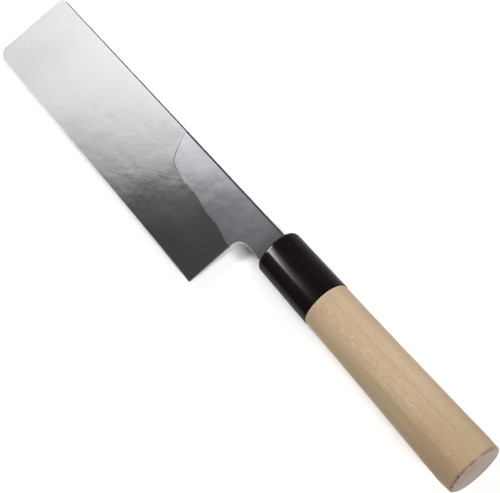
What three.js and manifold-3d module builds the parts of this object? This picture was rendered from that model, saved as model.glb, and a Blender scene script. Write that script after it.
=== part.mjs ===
// Usuba knife: a laminated single-bevel vegetable knife with a stick tang in a wooden handle.
// Millimetres. +X runs to the tip, +Y to the cutting edge, +Z out of the back of the blade.
// While it is built, the zero point is on the handle axis at the ferrule's front face.
import * as THREE from 'three';
import { mergeVertices } from 'three/addons/utils/BufferGeometryUtils.js';
import Module from 'manifold-3d';

const wasm = await Module();
wasm.setup();

// Blade outline
const EDGE_LENGTH = 165; // heel corner to the foremost point of the edge
const HEEL_SETBACK = 20.5; // ferrule front to the heel corner
const EDGE_OFFSET = 38.5; // handle axis to the cutting edge
const SPINE_OFFSET = 6.5; // handle axis to the spine, at the ferrule
const SPINE_DROP = 2.4; // fall of the spine towards the edge, over the whole spine
const TIP_RAKE = 9.2; // lead of the tip's edge corner over its spine corner
const TIP_SPINE_RADIUS = 3;
const TIP_EDGE_RADIUS = 5;
const HEEL_RAKE = 7.2; // degrees, heel line from square to the edge
const NECK_OFFSET = 8.3; // handle axis to the neck's lower side
const NOTCH_RADIUS = 6; // between the heel line and the neck

// Blade thickness
const NECK_THICKNESS = 4.2;
const TIP_THICKNESS = 2;
const BEVEL_WIDTH = 26; // wide bevel of the front face, from the ridge line to the edge
const EDGE_LAND = 0.25; // thickness left at the edge
const STEEL_THICKNESS = 1.2; // hard plate on the back

// End of the hard plate, a line across the back that bends towards the heel
const STEEL_SPINE_REACH = 73.6; // ferrule front to where the line leaves the spine
const STEEL_BEND_REACH = 68.5; // ferrule front to the bend
const STEEL_BEND_OFFSET = 8.3; // handle axis to the bend
const STEEL_BEND_RADIUS = 5;

// Tang
const TANG_LENGTH = 92; // ferrule front to the tang's end
const TANG_WIDTH = 11;
const TANG_END_WIDTH = 6;
const TANG_THICKNESS = 3.8;
const TANG_END_THICKNESS = 2.6;

// Ferrule
const FERRULE_LENGTH = 33.7;
const FERRULE_FRONT_WIDTH = 21.9;
const FERRULE_FRONT_TOP = 10.2; // handle axis to the face on the blade's back side
const FERRULE_FRONT_BOTTOM = 10.1;
const FERRULE_ROUND = 1.6; // front rim
const FERRULE_WALL = 2.6;
const FRONT_WALL = 5; // solid front, with the slot for the neck
const FERRULE_STEP = 0.25; // ferrule stands this proud of the wood

// Wooden handle
const HANDLE_LENGTH = 126.5; // ferrule front to the butt
const WOOD_WIDTH = 22.3; // at the ferrule
const WOOD_TOP = 10.1;
const WOOD_BOTTOM = 10.3;
const BUTT_WIDTH = 26.2;
const BUTT_TOP = 10;
const BUTT_BOTTOM = 11.2;
const BUTT_CHAMFER = 0.9;

// Fits
const FIT = 0.3; // gap between a piece and the one that is shaped to it
const BEDDING = 1.2; // bore over the tang, all round
const BORE_END = 3; // bore beyond the tang's end
const MOUTH_CLEARANCE = 1.2; // slot over the neck, all round
const SEAL_RECESS = 0.6; // seal behind the ferrule's front face

// Shape of the round work
const SECTION_POWER = 2.13; // 2 is an ellipse, more is squarer
const FLARE_POWER = 1.3; // the handle widens faster near the butt
const SECTION_POINTS = 48;
const ARC_POINTS = 10;
const BLADE_STEPS = 8;
const HANDLE_STEPS = 10;
const ROUND_STEPS = 4;
const OVERSHOOT = 4; // how far a cutting shape runs past what it cuts

const tipX = HEEL_SETBACK + EDGE_LENGTH;
const tipSpine = new THREE.Vector2(tipX - TIP_RAKE, SPINE_DROP - SPINE_OFFSET);
const backZ = NECK_THICKNESS / 2;
const plateZ = backZ - STEEL_THICKNESS;
const ridgeY = EDGE_OFFSET - BEVEL_WIDTH;
const heelRun = Math.tan(THREE.MathUtils.degToRad(HEEL_RAKE)) * (EDGE_OFFSET - NECK_OFFSET);

/** A closed geometry as a solid for joining and cutting. */
function solid(geometry) {
  const bare = geometry.clone();
  bare.deleteAttribute('normal');
  bare.deleteAttribute('uv');
  const merged = mergeVertices(bare, 1e-4);
  return new wasm.Manifold(
    new wasm.Mesh({
      numProp: 3,
      vertProperties: new Float32Array(merged.attributes.position.array),
      triVerts: new Uint32Array(merged.index.array),
    }),
  );
}

/** A named mesh of a solid, flat-shaded. */
function piece(name, body, material) {
  const mesh = body.getMesh();
  const indexed = new THREE.BufferGeometry();
  indexed.setAttribute('position', new THREE.BufferAttribute(mesh.vertProperties, 3));
  indexed.setIndex(new THREE.BufferAttribute(mesh.triVerts, 1));
  const geometry = indexed.toNonIndexed();
  geometry.computeVertexNormals();
  const result = new THREE.Mesh(geometry, material);
  result.name = name;
  return result;
}

/** A shape in the XY plane, raised from one height to another. */
function plate(shape, low, high) {
  const geometry = new THREE.ExtrudeGeometry(shape, {
    depth: high - low,
    bevelEnabled: false,
    curveSegments: ARC_POINTS,
  });
  return solid(geometry.translate(0, 0, low));
}

/** A template section carried along X: place(u, v, station) gives the Y and Z of each of its points. */
function loft(template, stations, place) {
  const steps = stations.length - 1;
  const geometry = new THREE.ExtrudeGeometry(template, { depth: steps, steps, bevelEnabled: false });
  const points = geometry.attributes.position;
  for (let i = 0; i < points.count; i += 1) {
    const station = stations[Math.round(points.getZ(i))];
    const [y, z] = place(points.getX(i), points.getY(i), station);
    points.setXYZ(i, station.x, y, z);
  }
  return solid(geometry);
}

/** A closed outline of straight sides; a corner with a radius is rounded, as far as its sides allow. */
function outline(corners) {
  const shape = new THREE.Shape();
  corners.forEach((corner, i) => {
    const before = corners.at(i - 1).at;
    const after = corners[(i + 1) % corners.length].at;
    const here = corner.at;
    const back = before.clone().sub(here);
    const ahead = after.clone().sub(here);
    const points = [here];
    if (corner.radius) {
      const half = Math.acos(back.clone().normalize().dot(ahead.clone().normalize())) / 2;
      const reach = Math.min(corner.radius / Math.tan(half), back.length() / 2, ahead.length() / 2);
      const radius = reach * Math.tan(half);
      const bisector = back.clone().normalize().add(ahead.clone().normalize()).normalize();
      const centre = here.clone().addScaledVector(bisector, radius / Math.sin(half));
      const start = here.clone().addScaledVector(back.normalize(), reach).sub(centre);
      const turn = Math.sign(back.cross(ahead)) * (Math.PI - 2 * half);
      points.pop();
      for (let k = 0; k <= ARC_POINTS; k += 1) {
        points.push(start.clone().rotateAround(new THREE.Vector2(), (-turn * k) / ARC_POINTS).add(centre));
      }
    }
    points.forEach((p, k) => (i + k === 0 ? shape.moveTo(p.x, p.y) : shape.lineTo(p.x, p.y)));
  });
  return shape;
}

/** A rectangle from its edges. */
function rectangle(left, right, low, high) {
  return outline([
    { at: new THREE.Vector2(left, low) },
    { at: new THREE.Vector2(right, low) },
    { at: new THREE.Vector2(right, high) },
    { at: new THREE.Vector2(left, high) },
  ]);
}

const unitSquare = rectangle(-1, 1, -1, 1);

/** The handle's rounded section, one unit to each side. */
function unitOval() {
  const points = [];
  for (let i = 0; i < SECTION_POINTS; i += 1) {
    const angle = (i / SECTION_POINTS) * 2 * Math.PI;
    const c = Math.cos(angle);
    const s = Math.sin(angle);
    const bend = (value) => Math.sign(value) * Math.abs(value) ** (2 / SECTION_POWER);
    points.push(new THREE.Vector2(bend(c), bend(s)));
  }
  return new THREE.Shape(points);
}

/** A bar of oval section through stations of half width, top and bottom. */
function ovalBar(stations) {
  return loft(unitOval(), stations, (u, v, s) => [u * s.half, v * (v > 0 ? s.top : s.bottom)]);
}

/** A straight-sided bar through stations of centre, half width and half thickness. */
function squareBar(stations) {
  return loft(unitSquare, stations, (u, v, s) => [s.middle + u * s.half, v * s.deep]);
}

/** A station grown (or, with a minus, shrunk) all round. */
function grown(station, by) {
  return { ...station, half: station.half + by, top: station.top + by, bottom: station.bottom + by };
}

/** The blade seen on its back: spine, tip, edge, heel, notch and neck, into the ferrule's front wall. */
function bladeOutline() {
  return outline([
    { at: new THREE.Vector2(-FRONT_WALL, -SPINE_OFFSET) },
    { at: new THREE.Vector2(0, -SPINE_OFFSET) },
    { at: tipSpine, radius: TIP_SPINE_RADIUS },
    { at: new THREE.Vector2(tipX, EDGE_OFFSET), radius: TIP_EDGE_RADIUS },
    { at: new THREE.Vector2(HEEL_SETBACK, EDGE_OFFSET) },
    { at: new THREE.Vector2(HEEL_SETBACK - heelRun, NECK_OFFSET), radius: NOTCH_RADIUS },
    { at: new THREE.Vector2(-FRONT_WALL, NECK_OFFSET) },
  ]);
}

/** Everything ahead of the line where the hard plate ends, moved back by a gap. */
function steelRegion(gap) {
  const spineY = -SPINE_OFFSET + (SPINE_DROP * STEEL_SPINE_REACH) / tipSpine.x;
  const atSpine = new THREE.Vector2(STEEL_SPINE_REACH - gap, spineY);
  const bend = new THREE.Vector2(STEEL_BEND_REACH - gap, STEEL_BEND_OFFSET - gap);
  const rake = heelRun * (NOTCH_RADIUS / (EDGE_OFFSET - NECK_OFFSET));
  const atHeel = new THREE.Vector2(HEEL_SETBACK - heelRun + rake, NECK_OFFSET + NOTCH_RADIUS - gap);
  const pastSpine = atSpine.clone().add(atSpine.clone().sub(bend).setLength(OVERSHOOT));
  const pastHeel = atHeel.clone().add(atHeel.clone().sub(bend).setLength(NOTCH_RADIUS));
  return outline([
    { at: pastSpine },
    { at: new THREE.Vector2(tipX + OVERSHOOT, pastSpine.y) },
    { at: new THREE.Vector2(tipX + OVERSHOOT, EDGE_OFFSET + OVERSHOOT) },
    { at: new THREE.Vector2(pastHeel.x, EDGE_OFFSET + OVERSHOOT) },
    { at: pastHeel },
    { at: bend, radius: STEEL_BEND_RADIUS },
  ]);
}

/** What is ground away under the blade: the tapering front face and the wide bevel to the edge. */
function frontGrind() {
  const spineSide = -SPINE_OFFSET - OVERSHOOT;
  const edgeSide = EDGE_OFFSET + OVERSHOOT;
  const lowZ = -NECK_THICKNESS - OVERSHOOT;
  const edgeZ = backZ - EDGE_LAND;
  const template = new THREE.Shape([
    new THREE.Vector2(spineSide, 0),
    new THREE.Vector2(edgeSide, 0),
    new THREE.Vector2(edgeSide, 3),
    new THREE.Vector2(EDGE_OFFSET, 2),
    new THREE.Vector2(ridgeY, 1),
    new THREE.Vector2(spineSide, 1),
  ]);
  const stations = [{ x: -TANG_LENGTH, thickness: NECK_THICKNESS }];
  for (let i = 0; i <= BLADE_STEPS; i += 1) {
    const share = i / BLADE_STEPS;
    stations.push({
      x: share * (tipX + OVERSHOOT),
      thickness: THREE.MathUtils.lerp(NECK_THICKNESS, TIP_THICKNESS, share),
    });
  }
  return loft(template, stations, (y, role, { thickness }) => {
    const faceZ = backZ - thickness;
    const pastEdge = edgeZ + ((edgeZ - faceZ) / BEVEL_WIDTH) * OVERSHOOT;
    return [y, [lowZ, faceZ, edgeZ, pastEdge][role]];
  });
}

/** The tang, or a bar of its shape grown all round, from one end to the other. */
function tangBar(grow, endX, frontX) {
  const atX = (x) => {
    const share = (-FRONT_WALL - x) / (TANG_LENGTH - FRONT_WALL);
    return {
      x,
      middle: 0,
      half: THREE.MathUtils.lerp(TANG_WIDTH, TANG_END_WIDTH, share) / 2 + grow,
      deep: THREE.MathUtils.lerp(TANG_THICKNESS, TANG_END_THICKNESS, share) / 2 + grow,
    };
  };
  return squareBar([atX(endX), atX(frontX)]);
}

/** A bar of the neck's section grown all round, from one end to the other. */
function neckBar(grow, backX, frontX) {
  const station = {
    middle: (NECK_OFFSET - SPINE_OFFSET) / 2,
    half: (NECK_OFFSET + SPINE_OFFSET) / 2 + grow,
    deep: NECK_THICKNESS / 2 + grow,
  };
  return squareBar([{ ...station, x: backX }, { ...station, x: frontX }]);
}

const steelMetal = { roughness: 0.28, metalness: 1 };
const materials = {
  iron: new THREE.MeshStandardMaterial({ color: 0xa9a9ad, ...steelMetal }),
  steel: new THREE.MeshStandardMaterial({ color: 0xb9b9bd, ...steelMetal }),
  horn: new THREE.MeshStandardMaterial({ color: 0x141214, roughness: 0.18, metalness: 0 }),
  wood: new THREE.MeshStandardMaterial({ color: 0xc4aa87, roughness: 0.6, metalness: 0 }),
  resin: new THREE.MeshStandardMaterial({ color: 0x6b4a26, roughness: 0.5, metalness: 0 }),
  wax: new THREE.MeshStandardMaterial({ color: 0x2a211a, roughness: 0.45, metalness: 0 }),
};

/** Soft-iron body with its neck and tang, rebated for the hard plate. */
function bladeBody() {
  const rebate = plate(steelRegion(FIT), plateZ, backZ + OVERSHOOT);
  const blank = plate(bladeOutline(), -NECK_THICKNESS, backZ).subtract(frontGrind()).subtract(rebate);
  const tang = tangBar(0, -TANG_LENGTH, -FRONT_WALL + FIT);
  return piece('blade_body', blank.add(tang), materials.iron);
}

/** Hard plate that makes the back of the blade and its edge. */
function cuttingSteel() {
  const region = plate(steelRegion(0), plateZ, backZ);
  const sheet = plate(bladeOutline(), plateZ, backZ).intersect(region);
  return piece('cutting_steel', sheet.subtract(frontGrind()), materials.steel);
}

const ferruleRear = {
  x: -FERRULE_LENGTH,
  half: WOOD_WIDTH / 2 + FERRULE_STEP,
  top: WOOD_TOP + FERRULE_STEP,
  bottom: WOOD_BOTTOM + FERRULE_STEP,
};
const ferruleFront = {
  x: 0,
  half: FERRULE_FRONT_WIDTH / 2,
  top: FERRULE_FRONT_TOP,
  bottom: FERRULE_FRONT_BOTTOM,
};

/** The ferrule's outside at a distance behind its front, grown all round. */
function ferruleAt(x, by) {
  const share = x / ferruleRear.x;
  const between = (key) => THREE.MathUtils.lerp(ferruleFront[key], ferruleRear[key], share);
  return grown({ x, half: between('half'), top: between('top'), bottom: between('bottom') }, by);
}

/** Collar with a rounded front rim, hollow for the tenon, slotted for the neck. */
function ferrule() {
  const stations = [ferruleRear];
  for (let i = 0; i <= ROUND_STEPS; i += 1) {
    const angle = (i / ROUND_STEPS) * (Math.PI / 2);
    const x = (Math.sin(angle) - 1) * FERRULE_ROUND;
    stations.push(ferruleAt(x, (Math.cos(angle) - 1) * FERRULE_ROUND));
  }
  const hollow = ovalBar([ferruleAt(-FERRULE_LENGTH - OVERSHOOT, -FERRULE_WALL), ferruleAt(-FRONT_WALL, -FERRULE_WALL)]);
  const slot = neckBar(MOUTH_CLEARANCE, -FRONT_WALL - OVERSHOOT, OVERSHOOT);
  return piece('ferrule', ovalBar(stations).subtract(hollow).subtract(slot), materials.horn);
}

/** Wooden grip with its tenon and the blind bore for the tang. */
function handle() {
  const woodAt = (x, inset) => {
    const share = (x + FERRULE_LENGTH) / (FERRULE_LENGTH - HANDLE_LENGTH);
    const flare = Math.max(share, 0) ** FLARE_POWER;
    return grown(
      {
        x,
        half: THREE.MathUtils.lerp(WOOD_WIDTH, BUTT_WIDTH, flare) / 2,
        top: THREE.MathUtils.lerp(WOOD_TOP, BUTT_TOP, flare),
        bottom: THREE.MathUtils.lerp(WOOD_BOTTOM, BUTT_BOTTOM, flare),
      },
      -inset,
    );
  };
  const stations = [woodAt(-HANDLE_LENGTH, BUTT_CHAMFER)];
  for (let i = HANDLE_STEPS; i >= 0; i -= 1) {
    const x = THREE.MathUtils.lerp(-FERRULE_LENGTH, BUTT_CHAMFER - HANDLE_LENGTH, i / HANDLE_STEPS);
    stations.push(woodAt(x, 0));
  }
  const tenonInset = -FERRULE_WALL - FIT;
  const tenon = ovalBar([
    { ...ferruleAt(-FERRULE_LENGTH, tenonInset), x: -FERRULE_LENGTH - OVERSHOOT },
    ferruleAt(-FRONT_WALL - FIT, tenonInset),
  ]);
  const bore = tangBar(BEDDING, -TANG_LENGTH - BORE_END, -FRONT_WALL);
  return piece('handle', ovalBar(stations).add(tenon).subtract(bore), materials.wood);
}

/** Cured resin round the tang and past its end. */
function tangBedding() {
  const frontX = -FRONT_WALL - FIT;
  const fill = tangBar(BEDDING - FIT, -TANG_LENGTH - BORE_END + FIT, frontX);
  const tangRoom = tangBar(FIT, -TANG_LENGTH - FIT, frontX + OVERSHOOT);
  return piece('tang_bedding', fill.subtract(tangRoom), materials.resin);
}

/** Bead that closes the ferrule's slot round the neck. */
function mouthSeal() {
  const fill = neckBar(MOUTH_CLEARANCE - FIT, -FRONT_WALL, -SEAL_RECESS);
  const neckRoom = neckBar(FIT, -FRONT_WALL - OVERSHOOT, OVERSHOOT);
  return piece('mouth_seal', fill.subtract(neckRoom), materials.wax);
}

const knife = new THREE.Group();
knife.add(bladeBody(), cuttingSteel(), ferrule(), handle(), tangBedding(), mouthSeal());

// The origin is moved under the middle of the whole knife, at its lowest point.
const box = new THREE.Box3().setFromObject(knife);
const middle = box.getCenter(new THREE.Vector3());
knife.position.set(-middle.x, -middle.y, -box.min.z);

export default knife;
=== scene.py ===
"""Usuba knife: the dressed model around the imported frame.

Lengths inside the classes are millimetres from the datum, a point on the handle axis at the ferrule's front face.
+X runs to the tip, +Y to the cutting edge and +Z out of the back of the blade. Meshes are in metres.
"""

import logging
from dataclasses import dataclass, field, fields
from enum import Enum
from math import radians
from typing import Callable, Dict, List, Sequence, Tuple, Union

import bmesh
import bpy
import numpy as np
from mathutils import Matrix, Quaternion, Vector


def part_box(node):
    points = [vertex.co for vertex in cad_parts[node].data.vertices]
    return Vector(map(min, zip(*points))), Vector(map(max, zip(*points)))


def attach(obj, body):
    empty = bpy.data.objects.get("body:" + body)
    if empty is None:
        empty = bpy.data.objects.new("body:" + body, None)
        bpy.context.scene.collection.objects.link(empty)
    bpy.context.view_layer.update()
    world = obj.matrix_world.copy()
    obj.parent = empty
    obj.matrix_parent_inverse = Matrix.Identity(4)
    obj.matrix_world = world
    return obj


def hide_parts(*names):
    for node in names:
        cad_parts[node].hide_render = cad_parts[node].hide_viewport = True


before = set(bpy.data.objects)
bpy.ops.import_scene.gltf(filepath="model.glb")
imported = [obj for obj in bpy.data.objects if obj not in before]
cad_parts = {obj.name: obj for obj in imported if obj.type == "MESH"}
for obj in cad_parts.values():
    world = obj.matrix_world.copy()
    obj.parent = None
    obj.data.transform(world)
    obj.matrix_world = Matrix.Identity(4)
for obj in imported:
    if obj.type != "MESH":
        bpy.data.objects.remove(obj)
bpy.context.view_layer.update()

LOG = logging.getLogger("usuba")
BODY = "root"
MM = 0.001
TINY = 1e-9
MERGE_DISTANCE = 1e-6  # metres
SHARP_ANGLE = radians(30)
EASE_POINTS = 5  # points on each eased corner of a section
EASE_LIMIT = 0.45  # longest share of a side that an eased corner takes
RING_POINTS = 192  # points round the handle and the ferrule
SETTLE_ROUNDS = 6  # steps after which a search by repeated steps stands still
NOISE_RANGE = (0.3, 0.7)  # values of a noise that are spread to 0 and 1
NOISE_DETAIL = 4.0  # finer and finer noise inside the strokes

Colour = Tuple[float, float, float]
Point = Tuple[float, float, float]
Range = Tuple[float, ...]  # where a change starts and ends and, where given, the shares there
Numbers = Union[float, np.ndarray]
Socket = bpy.types.NodeSocket
Value = Union[float, Tuple[float, ...], Socket]


# Geometry helpers


def put(name: str, data: bpy.types.ID) -> bpy.types.Object:
    """Put a new object into the scene.

    Args:
        name: Name of the object.
        data: Its mesh, lamp or camera.

    Returns:
        The object.
    """
    thing = bpy.data.objects.new(name, data)
    bpy.context.scene.collection.objects.link(thing)
    return thing


def vertices(piece: bpy.types.Object) -> np.ndarray:
    """Read the vertices of a piece.

    Args:
        piece: The piece.

    Returns:
        Places in metres, of shape (vertices, 3).
    """
    places = np.empty(3 * len(piece.data.vertices), dtype=np.float32)
    piece.data.vertices.foreach_get("co", places)
    return places.reshape(-1, 3).astype(float)


@dataclass(frozen=True)
class Datum:
    """Where the ferrule's front face crosses the handle axis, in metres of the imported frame."""

    place: np.ndarray

    @classmethod
    def from_frame(cls, back_height: float) -> "Datum":
        """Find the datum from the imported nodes.

        Args:
            back_height: Height of the blade's back over the handle axis, in millimetres.

        Returns:
            The datum.
        """
        low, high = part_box("ferrule")
        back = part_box("cutting_steel")[1].z
        return cls(np.array([high.x, (low.y + high.y) / 2, back - back_height * MM]))

    def metres(self, points: np.ndarray) -> np.ndarray:
        """Points in millimetres from the datum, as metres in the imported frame."""
        return self.place + points * MM


@dataclass
class Skin:
    """A grid of points, ring after ring along a path, that becomes one closed mesh.

    Attributes:
        rings: Points in millimetres, of shape (rings, points, 3). Each ring is closed.
        marks: Named masks of shape (rings, points), kept as point attributes.
        path_closed: True where the last ring joins the first.
    """

    rings: np.ndarray
    marks: Dict[str, np.ndarray] = field(default_factory=dict)
    path_closed: bool = False

    def faces(self) -> List[List[int]]:
        """Quads between neighbouring rings, and a flat cap on each open end that isn't a point.

        Returns:
            The point numbers of each face.
        """
        count, points = self.rings.shape[:2]
        index = np.arange(count * points).reshape(count, points)
        ahead = np.roll(index, -1, axis=1)
        if self.path_closed:
            above, above_ahead = np.roll(index, -1, axis=0), np.roll(ahead, -1, axis=0)
            return np.stack([index, ahead, above_ahead, above], axis=-1).reshape(-1, 4).tolist()
        quads = np.stack([index[:-1], ahead[:-1], ahead[1:], index[1:]], axis=-1).reshape(-1, 4)
        caps = []
        for ring, order in ((0, -1), (count - 1, 1)):
            if np.ptp(self.rings[ring], axis=0).max() > MERGE_DISTANCE / MM:
                caps.append(index[ring][::order].tolist())
        return quads.tolist() + caps

    def make(self, name: str, datum: Datum) -> bpy.types.Object:
        """Build the mesh object at the origin, with its place in its vertices.

        Args:
            name: Name of the object.
            datum: Zero point of the rings.

        Returns:
            The linked object, smooth-shaded with sharp edges kept.
        """
        mesh = bpy.data.meshes.new(name)
        points = datum.metres(self.rings.reshape(-1, 3))
        mesh.from_pydata(points.tolist(), [], self.faces())
        for key, mask in self.marks.items():
            attribute = mesh.attributes.new(key, "FLOAT", "POINT")
            attribute.data.foreach_set("value", mask.astype(np.float32).ravel())
        shell = bmesh.new()
        shell.from_mesh(mesh)
        bmesh.ops.remove_doubles(shell, verts=shell.verts, dist=MERGE_DISTANCE)
        bmesh.ops.dissolve_degenerate(shell, edges=shell.edges, dist=MERGE_DISTANCE)
        bmesh.ops.recalc_face_normals(shell, faces=shell.faces)
        shell.to_mesh(mesh)
        shell.free()
        mesh.polygons.foreach_set("use_smooth", np.ones(len(mesh.polygons), dtype=bool))
        mesh.set_sharp_from_angle(angle=SHARP_ANGLE)
        return put(name, mesh)


@dataclass(frozen=True)
class Side:
    """One side of a closed section, from its own corner to the next side's corner.

    Attributes:
        name: What the side is on the knife.
        corner: Its corner at every station, of shape (stations, 3).
        ease: How far the corner is rounded, in millimetres, as one number or one for each station.
        shares: Places of points along the side, from 0 to 1, of shape (points,) or (stations, points).
    """

    name: str
    corner: np.ndarray
    ease: Numbers
    shares: np.ndarray


def unit(vector: np.ndarray) -> np.ndarray:
    """A vector, or rows of vectors, scaled to length one."""
    return vector / np.maximum(np.linalg.norm(vector, axis=-1, keepdims=True), TINY)


def inner(count: int) -> np.ndarray:
    """Evenly spread shares strictly between 0 and 1."""
    return np.linspace(0, 1, count + 2)[1:-1]


def smooth_step(value: np.ndarray, low: float, high: float) -> np.ndarray:
    """A rise from 0 at low to 1 at high along 3 s^2 - 2 s^3."""
    share = np.clip((value - low) / (high - low), 0, 1)
    return share * share * (3 - 2 * share)


def in_plan(x: np.ndarray, y: Numbers) -> np.ndarray:
    """Plan points from their two numbers."""
    return np.column_stack(np.broadcast_arrays(x, y))


def raised(plan: np.ndarray, height: Numbers) -> np.ndarray:
    """Plan points with a height."""
    return np.column_stack([plan, np.broadcast_to(height, len(plan))])


def settle(value: Numbers, step: Callable[[Numbers], Numbers]) -> Numbers:
    """Find the value that a step leaves where it is, by taking the step again and again.

    Args:
        value: Where the search starts.
        step: The step from one value to the next.

    Returns:
        The value after the last step.
    """
    for _ in range(SETTLE_ROUNDS):
        value = step(value)
    return value


def corner_arc(before: np.ndarray, corner: np.ndarray, after: np.ndarray, radius: float, count: int) -> np.ndarray:
    """Arc that rounds the corner between two straight sides.

    It touches each side at radius / tan(half the corner's angle) from the corner, and its radius turns evenly from
    one touching point to the other.

    Args:
        before: A point on the side that comes in.
        corner: The corner.
        after: A point on the side that goes out.
        radius: Radius of the arc.
        count: Number of points.

    Returns:
        Points of shape (count, 2).
    """
    back, ahead = unit(before - corner), unit(after - corner)
    half = np.arccos(np.clip(back @ ahead, -1, 1)) / 2
    reach = radius / np.tan(half)
    centre = corner + unit(back + ahead) * radius / np.sin(half)
    start, end = corner + back * reach - centre, corner + ahead * reach - centre
    turn = np.pi - 2 * half
    share = np.linspace(0, 1, count)[:, None]
    return centre + (np.sin((1 - share) * turn) * start + np.sin(share * turn) * end) / np.sin(turn)


def eased_sections(sides: Sequence[Side]) -> Tuple[np.ndarray, np.ndarray, np.ndarray]:
    """Closed sections with eased corners, for all stations at once.

    Near a corner C the section is the curve (1-s)^2 A + 2 s (1-s) C + s^2 B, where A and B lie on the two sides at
    the easing distance from C. Between two curves the points lie on the straight side.

    Args:
        sides: The sides in order round the section.

    Returns:
        Points of shape (stations, points, 3), the name of the side that each point belongs to, and the share along
        that side, of shape (stations, points), which is 0 on an eased corner.
    """
    corners = np.stack([side.corner for side in sides], axis=1)
    ease = np.stack([np.broadcast_to(side.ease, len(side.corner)) for side in sides], axis=1)[..., None]

    def eased(towards: np.ndarray) -> np.ndarray:
        """Points at the easing distance from each corner towards its neighbour.

        Args:
            towards: The neighbours.

        Returns:
            Points of the corners' shape.
        """
        gap = towards - corners
        length = np.linalg.norm(gap, axis=2, keepdims=True)
        return corners + unit(gap) * np.minimum(ease, EASE_LIMIT * length)

    start, end = eased(np.roll(corners, 1, axis=1)), eased(np.roll(corners, -1, axis=1))
    bend = np.linspace(0, 1, EASE_POINTS)[None, :, None]
    points, owner, places = [], [], []
    for number, side in enumerate(sides):
        here, there = end[:, number, None], start[:, (number + 1) % len(sides), None]
        curve = (1 - bend) ** 2 * start[:, number, None] + bend**2 * here
        curve = curve + 2 * bend * (1 - bend) * corners[:, number, None]
        share = np.broadcast_to(side.shares, (len(corners), np.shape(side.shares)[-1]))
        points += [curve, here + (there - here) * share[..., None]]
        owner += [side.name] * (EASE_POINTS + share.shape[1])
        places += [np.zeros((len(corners), EASE_POINTS)), share]
    return np.concatenate(points, axis=1), np.array(owner), np.concatenate(places, axis=1)


@dataclass(frozen=True)
class Ovals:
    """Rings of rounded section round the X axis, one value for each ring.

    A ring is the super-ellipse y = middle + half sgn(cos a)|cos a|^(2/p), z = rise sgn(sin a)|sin a|^(2/p), where
    rise is the top above the middle and the bottom below it.
    """

    x: np.ndarray
    half: np.ndarray
    top: np.ndarray
    bottom: np.ndarray
    power: np.ndarray
    middle: np.ndarray

    def rings(self) -> np.ndarray:
        """Work out the points of the rings.

        Returns:
            Points of shape (rings, RING_POINTS, 3).
        """
        angle = np.linspace(0, 2 * np.pi, RING_POINTS, endpoint=False)[None, :]
        bend = 2 / self.power[:, None]
        across = np.sign(np.cos(angle)) * np.abs(np.cos(angle)) ** bend
        up = np.sign(np.sin(angle)) * np.abs(np.sin(angle)) ** bend
        rise = np.where(up > 0, self.top[:, None], self.bottom[:, None])
        y = self.middle[:, None] + self.half[:, None] * across
        return np.stack([np.broadcast_to(self.x[:, None], y.shape), y, up * rise], axis=-1)

    @classmethod
    def chain(cls, *parts: "Ovals") -> "Ovals":
        """One run of rings after another."""
        return cls(*(np.concatenate([getattr(part, key.name) for part in parts]) for key in fields(cls)))

    @classmethod
    def of(
        cls, x: Numbers, half: Numbers, top: Numbers, bottom: Numbers, power: float, middle: Numbers = 0.0
    ) -> "Ovals":
        """Rings from numbers or arrays, spread to the same length."""
        arrays = (np.atleast_1d(np.asarray(value, float)) for value in (x, half, top, bottom, power, middle))
        return cls(*np.broadcast_arrays(*arrays))


# Material helpers


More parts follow.
